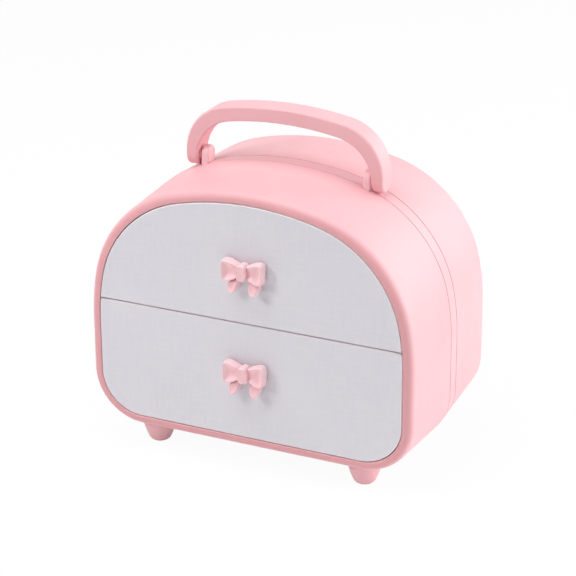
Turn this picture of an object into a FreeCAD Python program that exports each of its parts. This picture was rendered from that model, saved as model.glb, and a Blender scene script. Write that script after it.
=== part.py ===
import FreeCAD, Part
import math
import os
import re
import Sketcher

# Makeup storage case: an arched two-shell housing on four feet, two drawers with bow knobs, a hinged handle.
# Frame: x to the right, y to the back, z up, origin on the floor under the middle of the case. Millimetres.

sizes = {
    # housing outline, seen from the front
    "shell_width": 200.0,
    "shell_height": 153.0,
    "shell_depth": 114.0,
    "base_corner_radius": 31.2,
    "side_straight_top": 63.7,
    "side_arc_radius": 142.4,
    "side_arc_angle": 10.83,
    "shoulder_radius": 72.8,
    # front and rear shell
    "parting_depth": 51.5,
    "front_growth": 2.0,
    "rear_shrink": 3.3,
    "front_edge_radius": 4.6,
    "rear_edge_radius": 5.7,
    "edge_land": 0.15,
    "wall": 2.6,
    "back_wall": 2.6,
    "rim_width": 5.7,
    "rim_depth": 4.0,
    "rim_edge_radius": 0.5,
    "tongue_length": 3.0,
    "tongue_wall": 1.2,
    "tongue_clearance": 0.1,
    "parting_groove_width": 0.4,
    "parting_groove_sink": 0.4,
    "trim_line_depth": 61.4,
    "trim_line_width": 0.6,
    "trim_line_sink": 0.5,
    # feet
    "foot_height": 14.6,
    "foot_top_diameter": 20.4,
    "foot_low_diameter": 10.8,
    "foot_side_radius": 45.0,
    "foot_edge_radius": 4.0,
    "foot_side_setback": 34.6,
    "foot_setback": 15.9,
    # drawer fronts
    "split_height": 76.1,
    "front_gap": 0.45,
    "panel_recess": 0.65,
    "panel_thickness": 3.4,
    "panel_edge_radius": 0.8,
    "closed_gap": 0.25,
    "peg_diameter": 3.0,
    "peg_clearance": 0.1,
    "peg_spread": 120.0,
    "peg_inset": 9.0,
    # trays
    "tray_wall": 1.8,
    "tray_length": 100.0,
    "tray_rise": 0.6,
    "slide_clearance": 0.1,
    "lower_tray_margin": 14.0,
    "lower_tray_corner": 34.0,
    "lower_tray_headroom": 1.7,
    "upper_tray_margin": 24.0,
    "upper_tray_corner": 6.0,
    "upper_tray_height": 39.2,
    "drawer_travel": 78.0,
    "stop_block_length": 10.0,
    "stop_block_height": 2.2,
    "stop_block_width": 3.0,
    "stop_clearance": 0.3,
    # shelf between the drawers
    "shelf_margin": 4.5,
    "shelf_thickness": 2.5,
    "shelf_drop": 0.6,
    "shelf_clearance": 0.1,
    "shelf_lip_height": 2.6,
    "shelf_lip_thickness": 2.0,
    "runner_spacing": 80.0,
    "runner_width": 3.0,
    "runner_height": 3.2,
    "ledge_margin": 8.5,
    "ledge_thickness": 2.0,
    "hold_down_gap": 0.6,
    "hold_down_overlap": 2.0,
    # bow knobs
    "knob_reach": 8.0,
    "upper_knob_height": 109.5,
    "lower_knob_height": 47.8,
    "bow_width": 25.2,
    "bow_height": 13.2,
    "bow_shoulder_reach": 8.6,
    "bow_end_height": 11.2,
    "bow_loop_root": 1.7,
    "bow_root_height": 8.0,
    "bow_loop_thickness": 7.0,
    "bow_end_thickness": 4.4,
    "bow_core_width": 4.0,
    "bow_core_height": 7.0,
    "bow_core_thickness": 3.5,
    "bow_loop_corner": 2.0,
    "bow_loop_shoulder": 5.0,
    "bow_loop_roundness": 2.2,
    "bow_dimple_reach": 7.8,
    "bow_dimple_width": 6.8,
    "bow_dimple_depth": 0.7,
    "bow_knot_width": 5.4,
    "bow_knot_height": 9.2,
    "bow_knot_roundness": 1.8,
    "bow_tail_thickness": 4.8,
    "bow_tail_root_drop": 3.0,
    "bow_tail_root_inside": 1.2,
    "bow_tail_root_outside": 5.2,
    "bow_tail_shoulder_drop": 8.4,
    "bow_tail_shoulder_reach": 9.2,
    "bow_tail_drop": 13.4,
    "bow_tail_end_inside": 3.6,
    "bow_tail_end_outside": 7.4,
    "bow_tail_corner": 2.3,
    "bow_tail_roundness": 1.6,
    "bow_boss_diameter": 6.0,
    "bow_boss_clearance": 0.1,
    # screws
    "screw_diameter": 2.8,
    "screw_head_diameter": 5.4,
    "screw_head_height": 1.9,
    "screw_head_edge": 1.1,
    "screw_crown_diameter": 3.6,
    "screw_tip_diameter": 1.0,
    "screw_slot_width": 0.9,
    "screw_slot_length": 3.2,
    "screw_slot_depth": 0.8,
    "pilot_clearance": 0.1,
    "screw_hole_diameter": 3.4,
    "shell_screw_grip": 9.0,
    "foot_screw_grip": 6.3,
    "knob_screw_grip": 8.0,
    "pilot_depth": 9.0,
    "boss_diameter": 7.6,
    "boss_length": 14.0,
    "boss_floor": 3.0,
    "boss_end": 2.0,
    "driver_bore": 5.8,
    "web_thickness": 2.4,
    "top_boss_spread": 56.0,
    "top_boss_drop": 12.0,
    "corner_boss_radius": 23.0,
    # handle and its two brackets
    "handle_width": 121.8,
    "handle_rise": 187.7,
    "handle_depth": 14.0,
    "handle_leg": 6.9,
    "handle_bar": 8.8,
    "handle_top_radius": 200.0,
    "handle_shoulder_radius": 29.5,
    "handle_end_radius": 6.9,
    "handle_outer_round": 1.4,
    "handle_inner_round": 1.0,
    "handle_inner_top_radius": 185.0,
    "handle_inner_shoulder_radius": 25.0,
    "pivot_depth": 54.2,
    "pivot_height": 152.8,
    "trunnion_diameter": 4.0,
    "trunnion_clearance": 0.05,
    "trunnion_engagement": 3.9,
    "trunnion_collar_diameter": 8.0,
    "bracket_side_gap": 1.2,
    "collar_side_gap": 0.2,
    "bracket_thickness": 5.2,
    "bracket_depth": 9.2,
    "bracket_top_rise": 5.1,
    "bracket_edge_round": 1.6,
    "bracket_slot_clearance": 0.12,
    "bracket_flange_margin": 3.4,
    "bracket_seat_gap": 0.05,
}

doc = FreeCAD.newDocument("makeup_case")
sheet = doc.addObject("Spreadsheet::Sheet", "dims")
for row, (alias, number) in enumerate(sizes.items(), start=1):
    sheet.set("A%d" % row, alias)
    sheet.set("B%d" % row, str(number))
    sheet.setAlias("B%d" % row, alias)
doc.recompute()

words = re.compile(r"[a-z][a-z0-9_]*")
left_right = (("left", -1), ("right", 1))
touching = 0.001
least_cut = 0.01
parts = {}

# planes and heights that several sub-parts share, as formulas of the sheet's cells
front_plane = "(knob_reach - shell_depth) / 2"
parting_plane = "(%s + parting_depth)" % front_plane
rear_plane = "(%s + shell_depth)" % front_plane
rim_back = "(%s + rim_depth)" % front_plane
panel_front = "(%s + panel_recess)" % front_plane
panel_back = "(%s + panel_thickness)" % panel_front
wall_back = "(%s - back_wall)" % rear_plane
shelf_front = "(%s + closed_gap)" % panel_back
shelf_back = "(%s - shelf_clearance)" % wall_back
pivot_y = "(%s + pivot_depth)" % front_plane
pivot_z = "(foot_height + pivot_height)"
split_z = "(foot_height + split_height)"
shelf_top = "(%s - shelf_drop)" % split_z
shelf_low = "(%s - shelf_thickness)" % shelf_top
lower_runner_top = "(foot_height + rim_width + tray_rise)"
upper_runner_top = "(%s + runner_height)" % shelf_top
lower_tray_low = "(%s + slide_clearance)" % lower_runner_top
upper_tray_low = "(%s + slide_clearance)" % upper_runner_top
lower_tray_top = "(%s - lower_tray_headroom)" % shelf_low
upper_tray_top = "(%s + upper_tray_height)" % upper_tray_low
lower_tray_width = "(shell_width - 2 * lower_tray_margin)"
upper_tray_width = "(shell_width - 2 * upper_tray_margin)"
shelf_reach = "(shell_width / 2 - shelf_margin)"
ledge_reach = "(shell_width / 2 - ledge_margin)"
foot_reach = "(shell_width / 2 - foot_side_setback)"
leg_inside = "(handle_width / 2 - handle_leg)"
bracket_outside = "(%s - bracket_side_gap)" % leg_inside
bracket_inside = "(%s - bracket_thickness)" % bracket_outside
top_boss_z = "(foot_height + shell_height - top_boss_drop)"
corner_boss_x = "(shell_width / 2 - base_corner_radius + corner_boss_radius * sqrt(0.5))"
corner_boss_z = "(foot_height + base_corner_radius - corner_boss_radius * sqrt(0.5))"


def cells(text):
    # turn the words of a formula into references to the sheet's cells
    return words.sub(lambda found: "dims." + found.group() if found.group() in sizes else found.group(), text)


def read(alias):
    return float(sheet.get(alias))


def bind(item, prop, text):
    item.setExpression(prop, cells(text))


def new_body(name):
    body = doc.addObject("PartDesign::Body", name)
    body.Label = name
    return body


def new_sketch(body, name, role, offset):
    # a sketch on one of its body's own planes, shifted along the plane's normal
    sketch = body.newObject("Sketcher::SketchObject", name)
    plane = [item for item in body.Origin.OriginFeatures if item.Role == role][0]
    sketch.AttachmentSupport = [(plane, "")]
    sketch.MapMode = "FlatFace"
    bind(sketch, "AttachmentOffset.Base.z", offset)
    return sketch


def facing(plane):
    # shift of a front view sketch, whose normal points to the front, to a depth y
    return "-(%s)" % plane


def fix_point(sketch, geometry, end, across, up):
    drawn = sketch.getPoint(geometry, end)
    for kind, place, text in (("DistanceX", drawn.x, across), ("DistanceY", drawn.y, up)):
        index = sketch.addConstraint(Sketcher.Constraint(kind, -1, 1, geometry, end, place))
        bind(sketch, "Constraints[%d]" % index, text)


def polygon(sketch, corners):
    # closed outline of straight edges through corners given as formulas
    count = len(corners)
    ring = [FreeCAD.Vector(math.cos(2 * math.pi * k / count), math.sin(2 * math.pi * k / count), 0)
            for k in range(count)]
    first = sketch.GeometryCount
    for k in range(count):
        sketch.addGeometry(Part.LineSegment(ring[k], ring[(k + 1) % count]))
    for k in range(count):
        sketch.addConstraint(Sketcher.Constraint("Coincident", first + k, 2, first + (k + 1) % count, 1))
    for k, (across, up) in enumerate(corners):
        fix_point(sketch, first + k, 1, across, up)
    return sketch


def rectangle(sketch, left, right, low, high):
    return polygon(sketch, [(left, low), (right, low), (right, high), (left, high)])


def circle(sketch, across, up, diameter):
    index = sketch.addGeometry(Part.Circle(FreeCAD.Vector(0, 0, 0), FreeCAD.Vector(0, 0, 1), 1))
    fix_point(sketch, index, 3, across, up)
    size = sketch.addConstraint(Sketcher.Constraint("Diameter", index, 2.0))
    bind(sketch, "Constraints[%d]" % size, diameter)
    return sketch


def arch(sketch, inset):
    # Arched outline: flat base, round corners, upright sides, leaning side arcs, shoulders and a crown arc,
    # all pulled inward by the inset.
    half = read("shell_width") / 2
    corner = read("base_corner_radius")
    lean = math.radians(read("side_arc_angle"))
    side = read("side_arc_radius")
    shoulder = read("shoulder_radius")
    base = read("foot_height")
    eaves = base + read("side_straight_top")
    side_x = half - side
    shoulder_x = side_x + (side - shoulder) * math.cos(lean)
    shoulder_z = eaves + (side - shoulder) * math.sin(lean)
    crown = base + read("shell_height")
    drop = crown - shoulder_z
    top = (shoulder_x ** 2 + drop ** 2 - shoulder ** 2) / (2 * (drop - shoulder))
    top_z = crown - top
    turn = math.atan2(shoulder_z - top_z, shoulder_x)
    right = math.pi / 2

    def arc(x, z, radius, start, end):
        ring = Part.Circle(FreeCAD.Vector(x, z, 0), FreeCAD.Vector(0, 0, 1), radius)
        return sketch.addGeometry(Part.ArcOfCircle(ring, start, end))

    def line(x1, z1, x2, z2):
        return sketch.addGeometry(Part.LineSegment(FreeCAD.Vector(x1, z1, 0), FreeCAD.Vector(x2, z2, 0)))

    first = sketch.GeometryCount
    line(corner - half, base, half - corner, base)
    arc(half - corner, base + corner, corner, -right, 0)
    line(half, base + corner, half, eaves)
    arc(side_x, eaves, side, 0, lean)
    arc(shoulder_x, shoulder_z, shoulder, lean, turn)
    arc(0, top_z, top, turn, math.pi - turn)
    arc(-shoulder_x, shoulder_z, shoulder, math.pi - turn, math.pi - lean)
    arc(-side_x, eaves, side, math.pi - lean, math.pi)
    line(-half, eaves, -half, base + corner)
    arc(corner - half, base + corner, corner, math.pi, math.pi + right)
    for k in range(10):
        sketch.addConstraint(Sketcher.Constraint("Tangent", first + k, 2, first + (k + 1) % 10, 1))
    sketch.addConstraint(Sketcher.Constraint("Horizontal", first))
    for straight in (2, 8):
        sketch.addConstraint(Sketcher.Constraint("Vertical", first + straight))
    rules = [
        ("DistanceY", (-1, 1, first, 1), "foot_height + %s" % inset),
        ("DistanceX", (-1, 1, first + 2, 1), "shell_width / 2 - %s" % inset),
        ("DistanceX", (-1, 1, first + 8, 1), "%s - shell_width / 2" % inset),
        ("Radius", (first + 1,), "base_corner_radius - %s" % inset),
        ("Radius", (first + 9,), "base_corner_radius - %s" % inset),
        ("DistanceY", (-1, 1, first + 2, 2), "foot_height + side_straight_top"),
        ("DistanceY", (-1, 1, first + 8, 1), "foot_height + side_straight_top"),
        ("Radius", (first + 3,), "side_arc_radius - %s" % inset),
        ("Radius", (first + 7,), "side_arc_radius - %s" % inset),
        ("Radius", (first + 4,), "shoulder_radius - %s" % inset),
        ("Radius", (first + 6,), "shoulder_radius - %s" % inset),
    ]
    for kind, places, text in rules:
        if kind == "Radius":
            drawn = sketch.Geometry[places[0]].Radius
        elif kind == "DistanceX":
            drawn = sketch.getPoint(places[2], places[3]).x
        else:
            drawn = sketch.getPoint(places[2], places[3]).y
        index = sketch.addConstraint(Sketcher.Constraint(kind, *places, drawn))
        bind(sketch, "Constraints[%d]" % index, text)
    for lean_arc in (3, 7):
        index = sketch.addConstraint(Sketcher.Constraint("Angle", first + lean_arc, lean))
        bind(sketch, "Constraints[%d]" % index, "side_arc_angle * 1 deg")
    peak = sketch.addGeometry(Part.Point(FreeCAD.Vector(0, crown, 0)), True)
    sketch.addConstraint(Sketcher.Constraint("PointOnObject", peak, 1, first + 5))
    fix_point(sketch, peak, 1, "0", "foot_height + shell_height - %s" % inset)
    return sketch


def hoop(sketch, half_width, crown, top_radius, shoulder_radius, low, thinner):
    # Open outline of the handle: a leg, a shoulder, the crown arc, a shoulder and a leg, right to left.
    # It is drawn inside the handle's own outline, by the two amounts of thinner at the leg and at the bar.
    half = read("handle_width") / 2 - thinner[0]
    peak_z = read("foot_height") + read("handle_rise") - thinner[1]
    radius = read(top_radius)
    bend = read(shoulder_radius)
    foot = read("foot_height") + read("pivot_height") - read("handle_depth") / 2
    center_z = peak_z - radius
    bend_x = half - bend
    bend_z = center_z + math.sqrt((radius - bend) ** 2 - bend_x ** 2)
    turn = math.atan2(bend_z - center_z, bend_x)
    up = FreeCAD.Vector(0, 0, 1)

    def arc(x, z, size, start, end):
        ring = Part.Circle(FreeCAD.Vector(x, z, 0), up, size)
        return sketch.addGeometry(Part.ArcOfCircle(ring, start, end))

    first = sketch.GeometryCount
    sketch.addGeometry(Part.LineSegment(FreeCAD.Vector(half, foot, 0), FreeCAD.Vector(half, bend_z, 0)))
    arc(bend_x, bend_z, bend, 0, turn)
    arc(0, center_z, radius, turn, math.pi - turn)
    arc(-bend_x, bend_z, bend, math.pi - turn, math.pi)
    sketch.addGeometry(Part.LineSegment(FreeCAD.Vector(-half, bend_z, 0), FreeCAD.Vector(-half, foot, 0)))
    for k in range(4):
        sketch.addConstraint(Sketcher.Constraint("Tangent", first + k, 2, first + k + 1, 1))
    fix_point(sketch, first, 1, half_width, low)
    fix_point(sketch, first + 4, 2, "0 - %s" % half_width, low)
    for leg in (0, 4):
        sketch.addConstraint(Sketcher.Constraint("Vertical", first + leg))
    for k, text in ((1, shoulder_radius), (2, top_radius), (3, shoulder_radius)):
        drawn = sketch.Geometry[first + k].Radius
        index = sketch.addConstraint(Sketcher.Constraint("Radius", first + k, drawn))
        bind(sketch, "Constraints[%d]" % index, text)
    sketch.addConstraint(Sketcher.Constraint("PointOnObject", first + 2, 3, -2))
    peak = sketch.addGeometry(Part.Point(FreeCAD.Vector(0, peak_z, 0)), True)
    sketch.addConstraint(Sketcher.Constraint("PointOnObject", peak, 1, first + 2))
    fix_point(sketch, peak, 1, "0", crown)
    return first


def pad(body, sketch, name, length, backward=False, middle=False):
    feature = body.newObject("PartDesign::Pad", name)
    feature.Profile = sketch
    feature.Reversed = backward
    feature.Midplane = middle
    bind(feature, "Length", length)
    return feature


def pocket(body, sketch, name, depth, backward=False):
    feature = body.newObject("PartDesign::Pocket", name)
    feature.Profile = sketch
    feature.Reversed = backward
    bind(feature, "Length", depth)
    return feature


def loft(body, kind, name, first, second):
    feature = body.newObject("PartDesign::" + kind, name)
    feature.Profile = first
    feature.Sections = [second]
    feature.Ruled = True
    return feature


def fillet(body, base, name, test, radius):
    doc.recompute()
    feature = body.newObject("PartDesign::Fillet", name)
    chosen = ["Edge%d" % k for k, edge in enumerate(base.Shape.Edges, start=1) if test(edge)]
    if not chosen:
        raise ValueError("no edges found for " + name)
    feature.Base = (base, chosen)
    bind(feature, "Radius", radius)
    return feature


def lies_at(axis, place):
    # test for edges that lie in a plane across one axis
    def test(edge):
        box = edge.BoundBox
        low = getattr(box, axis.upper() + "Min")
        high = getattr(box, axis.upper() + "Max")
        return abs(low - place) < touching and abs(high - place) < touching
    return test


def runs_along(edge, axis):
    box = edge.BoundBox
    lengths = {"x": box.XLength, "y": box.YLength, "z": box.ZLength}
    return all(length < touching for key, length in lengths.items() if key != axis)


def arch_hull(name, front, front_inset, rear, rear_inset):
    # solid between two arched outlines, used to trim and to cut
    body = new_body(name)
    first = arch(new_sketch(body, name + "_front", "XZ_Plane", facing(front)), front_inset)
    second = arch(new_sketch(body, name + "_rear", "XZ_Plane", facing(rear)), rear_inset)
    loft(body, "AdditiveLoft", name + "_loft", first, second)
    return body


def box(name, left, right, front, rear, low, high):
    item = doc.addObject("Part::Box", name)
    bind(item, "Length", "%s - (%s)" % (right, left))
    bind(item, "Width", "%s - (%s)" % (rear, front))
    bind(item, "Height", "%s - (%s)" % (high, low))
    bind(item, "Placement.Base.x", left)
    bind(item, "Placement.Base.y", front)
    bind(item, "Placement.Base.z", low)
    return item


def side_box(name, side, inner, outer, front, rear, low, high):
    # box on one side of the middle, between two distances from it
    if side < 0:
        return box(name, "0 - (%s)" % outer, "0 - (%s)" % inner, front, rear, low, high)
    return box(name, inner, outer, front, rear, low, high)


def rod(name, direction, diameter, length, x, y, z):
    # cylinder that starts at a point and runs along +y or +z
    item = doc.addObject("Part::Cylinder", name)
    turn = -90 if direction == "y" else 0
    item.Placement = FreeCAD.Placement(FreeCAD.Vector(), FreeCAD.Rotation(FreeCAD.Vector(1, 0, 0), turn))
    bind(item, "Radius", "(%s) / 2" % diameter)
    bind(item, "Height", length)
    bind(item, "Placement.Base.x", x)
    bind(item, "Placement.Base.y", y)
    bind(item, "Placement.Base.z", z)
    return item


def combine(kind, name, *items):
    # boolean of finished objects: MultiFuse, MultiCommon or Cut (first minus the second)
    item = doc.addObject("Part::" + kind, name)
    if kind == "Cut":
        item.Base, item.Tool = items
    elif kind == "Compound":
        item.Links = list(items)
    else:
        item.Shapes = list(items)
    if kind != "Compound":
        item.Refine = True
    return item


def keep(node, item):
    item.Label = node
    parts[node] = item
    return item


# insets of the draft: the outline stands straight as far as each rounded end edge needs, grows from there to
# the parting line and shrinks behind it
front_land = "(front_edge_radius + edge_land)"
rear_land = "(rear_edge_radius + edge_land)"
front_slope = "(front_growth / (parting_depth - %s))" % front_land
rear_slope = "(rear_shrink / (shell_depth - parting_depth - %s))" % rear_land
draft_at_parting = "(0 - front_growth)"
draft_at_rear = "(rear_shrink - front_growth)"
draft_at_rim = "(0 - %s * (rim_depth - %s))" % (front_slope, front_land)
draft_at_trim = "(%s * (trim_line_depth - parting_depth) - front_growth)" % rear_slope
front_land_back = "(%s + %s)" % (front_plane, front_land)
rear_land_front = "(%s - %s)" % (rear_plane, rear_land)


def front_skin():
    body = new_body("front_shell_skin")
    front = arch(new_sketch(body, "front_outline", "XZ_Plane", facing(front_plane)), "0")
    land = pad(body, front, "front_land", front_land, backward=True)
    doc.recompute()
    face_y = front.Placement.Base.y
    fillet(body, land, "front_rim_round", lies_at("y", face_y), "front_edge_radius")
    near = arch(new_sketch(body, "front_hull_near", "XZ_Plane", facing(front_land_back)), "0")
    far = arch(new_sketch(body, "front_hull_far", "XZ_Plane", facing(parting_plane)), draft_at_parting)
    loft(body, "AdditiveLoft", "front_shell_hull", near, far)
    near = arch(new_sketch(body, "front_cavity_near", "XZ_Plane", facing(rim_back)),
                "(wall + %s)" % draft_at_rim)
    far = arch(new_sketch(body, "front_cavity_far", "XZ_Plane", facing(parting_plane)),
               "(wall + %s)" % draft_at_parting)
    loft(body, "SubtractiveLoft", "front_cavity", near, far)
    mouth = arch(new_sketch(body, "front_mouth", "XZ_Plane", facing(front_plane)), "rim_width")
    opened = pocket(body, mouth, "front_opening", "rim_depth")
    doc.recompute()
    reach = mouth.Shape.BoundBox.XMax + touching

    def mouth_edge(edge):
        return lies_at("y", face_y)(edge) and max(edge.BoundBox.XMax, -edge.BoundBox.XMin) < reach

    fillet(body, opened, "front_opening_round", mouth_edge, "rim_edge_radius")
    return body


def shell_line(body, name, plane, floor, width):
    # fine groove round the outside of a shell, behind a plane and down to an outline
    line = new_sketch(body, name + "_outline", "XZ_Plane", facing(plane))
    rectangle(line, "0 - shell_width", "shell_width", "0 - foot_height", "foot_height + 2 * shell_height")
    arch(line, floor)
    pocket(body, line, name, width)


def rear_skin():
    body = new_body("rear_shell_skin")
    rear = arch(new_sketch(body, "rear_outline", "XZ_Plane", facing(rear_plane)), draft_at_rear)
    land = pad(body, rear, "rear_land", rear_land)
    doc.recompute()
    fillet(body, land, "rear_edge_round", lies_at("y", rear.Placement.Base.y), "rear_edge_radius")
    near = arch(new_sketch(body, "rear_hull_near", "XZ_Plane", facing(parting_plane)), draft_at_parting)
    far = arch(new_sketch(body, "rear_hull_far", "XZ_Plane", facing(rear_land_front)), draft_at_rear)
    loft(body, "AdditiveLoft", "rear_shell_hull", near, far)
    near = arch(new_sketch(body, "rear_cavity_near", "XZ_Plane", facing(parting_plane)),
                "(wall + %s)" % draft_at_parting)
    far = arch(new_sketch(body, "rear_cavity_far", "XZ_Plane", facing(rear_land_front)),
               "(wall + %s)" % draft_at_rear)
    loft(body, "SubtractiveLoft", "rear_cavity", near, far)
    deep = arch(new_sketch(body, "rear_cavity_end", "XZ_Plane", facing(rear_land_front)),
                "(wall + %s)" % draft_at_rear)
    pocket(body, deep, "rear_cavity_bottom", "%s - back_wall" % rear_land)
    shell_line(body, "parting_groove", parting_plane, "(parting_groove_sink + %s)" % draft_at_parting,
               "parting_groove_width")
    shell_line(body, "trim_line", "(%s + trim_line_depth)" % front_plane,
               "(trim_line_sink + %s)" % draft_at_trim, "trim_line_width")
    return body


def tongue_ring(name, slack, length):
    # ring inside the wall at the parting line, standing forward of it
    body = new_body(name)
    outer = "(wall - tongue_wall - %s - front_growth)" % slack
    inner = "(wall + %s - front_growth)" % slack
    rim = arch(new_sketch(body, name + "_outer", "XZ_Plane", facing(parting_plane)), outer)
    pad(body, rim, name + "_pad", length)
    bore = arch(new_sketch(body, name + "_inner", "XZ_Plane", facing(parting_plane)), inner)
    pocket(body, bore, name + "_bore", length, backward=True)
    return body


def boss_places():
    # the four screw bosses, two under the crown and two in the bottom corners
    return [("top", "top_boss_spread / 2", top_boss_z), ("corner", corner_boss_x, corner_boss_z)]


def shell_ribs(name, front, rear, boss_front, boss_rear):
    # runners, shelf channels, hold-down ribs and screw bosses of one shell
    items = []
    reach = "shell_width"
    half = "web_thickness / 2"
    hold_down = "(%s / 2 - hold_down_overlap)" % upper_tray_width
    for word, side in left_right:
        tag = "%s_%s_" % (name, word)
        bars = [
            ("runner", "(runner_spacing - runner_width) / 2", "(runner_spacing + runner_width) / 2",
             "foot_height / 2", lower_runner_top),
            ("low_ledge", ledge_reach, reach,
             "%s - shelf_clearance - ledge_thickness" % shelf_low, "(%s - shelf_clearance)" % shelf_low),
            ("high_ledge", ledge_reach, reach,
             "%s + shelf_clearance" % shelf_top, "(%s + shelf_clearance + ledge_thickness)" % shelf_top),
            ("hold_down", hold_down, reach,
             "%s + hold_down_gap" % upper_tray_top,
             "(%s + hold_down_gap + ledge_thickness)" % upper_tray_top),
        ]
        for word_of_bar, inner, outer, low, high in bars:
            items.append(side_box(tag + word_of_bar, side, inner, outer, front, rear, low, high))
        for spot, across, up in boss_places():
            x = "(%d) * (%s)" % (side, across)
            length = "%s - (%s)" % (boss_rear, boss_front)
            items.append(rod(tag + spot + "_boss", "y", "boss_diameter", length, x, boss_front, up))
            if spot == "top":
                items.append(box(tag + "top_web", "%s - %s" % (x, half), "(%s + %s)" % (x, half), boss_front,
                                 boss_rear, up, "(foot_height + shell_height + front_growth)"))
            else:
                items.append(side_box(tag + "side_web", side, across, reach, boss_front, boss_rear,
                                      "%s - %s" % (up, half), "(%s + %s)" % (up, half)))
                items.append(box(tag + "low_web", "%s - %s" % (x, half), "(%s + %s)" % (x, half), boss_front,
                                 boss_rear, "0", up))
    return combine("MultiFuse", name + "_ribs", *items)


def bracket_slots(name):
    items = []
    slack = "bracket_slot_clearance"
    for word, side in left_right:
        items.append(side_box("%s_%s_slot" % (name, word), side, "(%s - %s)" % (bracket_inside, slack),
                              "(%s + %s)" % (bracket_outside, slack),
                              "(%s - bracket_depth / 2 - %s)" % (pivot_y, slack),
                              "(%s + bracket_depth / 2 + %s)" % (pivot_y, slack),
                              "(%s - handle_depth)" % pivot_z, "(%s + handle_depth)" % pivot_z))
    return items


front_foot_y = "(%s + foot_setback)" % front_plane
rear_foot_y = "(%s - foot_setback)" % rear_plane


def foot_holes(name, y):
    return [rod("%s_%s_foot_hole" % (name, word), "z", "screw_hole_diameter", "foot_height",
                "(%d) * %s" % (side, foot_reach), y, "foot_height / 2") for word, side in left_right]


def front_shell(skin):
    middle = arch_hull("front_middle_hull", rim_back, "(wall / 2 + %s)" % draft_at_rim,
                       parting_plane, "(wall / 2 + %s)" % draft_at_parting)
    boss_front = "(%s - boss_length)" % parting_plane
    ribs = shell_ribs("front", shelf_front, parting_plane, boss_front, parting_plane)
    trimmed = combine("MultiCommon", "front_ribs_trimmed", ribs, middle)
    whole = combine("MultiFuse", "front_shell_whole", skin, trimmed)
    tools = [tongue_ring("tongue_rebate", "tongue_clearance", "(tongue_length + tongue_clearance)")]
    tools += bracket_slots("front")
    tools += foot_holes("front", front_foot_y)
    for word, side in left_right:
        for place, across, up in boss_places():
            tools.append(rod("front_%s_%s_pilot" % (word, place), "y", "screw_diameter + 2 * pilot_clearance",
                             "2 * boss_length", "(%d) * (%s)" % (side, across),
                             "(%s + boss_end)" % boss_front, up))
    cuts = combine("MultiFuse", "front_shell_cuts", *tools)
    return keep("front_shell", combine("Cut", "front_shell", whole, cuts))


def rear_shell(skin):
    middle = arch_hull("rear_middle_hull", parting_plane, "(wall / 2 + %s)" % draft_at_parting,
                       wall_back, "(wall / 2 + %s)" % draft_at_rear)
    ribs = shell_ribs("rear", parting_plane, wall_back, parting_plane, wall_back)
    trimmed = combine("MultiCommon", "rear_ribs_trimmed", ribs, middle)
    tongue = tongue_ring("tongue", "0", "tongue_length")
    whole = combine("MultiFuse", "rear_shell_whole", skin, trimmed, tongue)
    tools = bracket_slots("rear")
    tools += foot_holes("rear", rear_foot_y)
    for word, side in left_right:
        for place, across, up in boss_places():
            x = "(%d) * (%s)" % (side, across)
            tag = "rear_%s_%s_" % (word, place)
            tools.append(rod(tag + "screw_hole", "y", "screw_hole_diameter", "2 * boss_floor", x,
                             "(%s - boss_floor / 2)" % parting_plane, up))
            tools.append(rod(tag + "driver_bore", "y", "driver_bore", "shell_depth", x,
                             "(%s + boss_floor)" % parting_plane, up))
    cuts = combine("MultiFuse", "rear_shell_cuts", *tools)
    return keep("rear_shell", combine("Cut", "rear_shell", whole, cuts))


def divider_shelf():
    body = new_body("divider_shelf")
    plate = new_sketch(body, "shelf_plate_outline", "XZ_Plane", facing(shelf_front))
    rectangle(plate, "0 - %s" % shelf_reach, shelf_reach, shelf_low, shelf_top)
    pad(body, plate, "shelf_plate", "%s - %s" % (shelf_back, shelf_front), backward=True)
    lip = new_sketch(body, "shelf_lip_outline", "XZ_Plane", facing(shelf_front))
    rectangle(lip, "0 - %s / 2" % upper_tray_width, "%s / 2" % upper_tray_width, shelf_low,
              "(%s + shelf_lip_height)" % shelf_top)
    pad(body, lip, "shelf_lip", "shelf_lip_thickness", backward=True)
    for word, side in left_right:
        rail = new_sketch(body, "shelf_%s_runner_outline" % word, "XZ_Plane", facing(shelf_front))
        middle = "(%d) * runner_spacing / 2" % side
        rectangle(rail, "%s - runner_width / 2" % middle, "%s + runner_width / 2" % middle, shelf_low,
                  upper_runner_top)
        pad(body, rail, "shelf_%s_runner" % word, "%s - %s" % (shelf_back, shelf_front), backward=True)
    return keep("divider_shelf", body)


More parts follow.
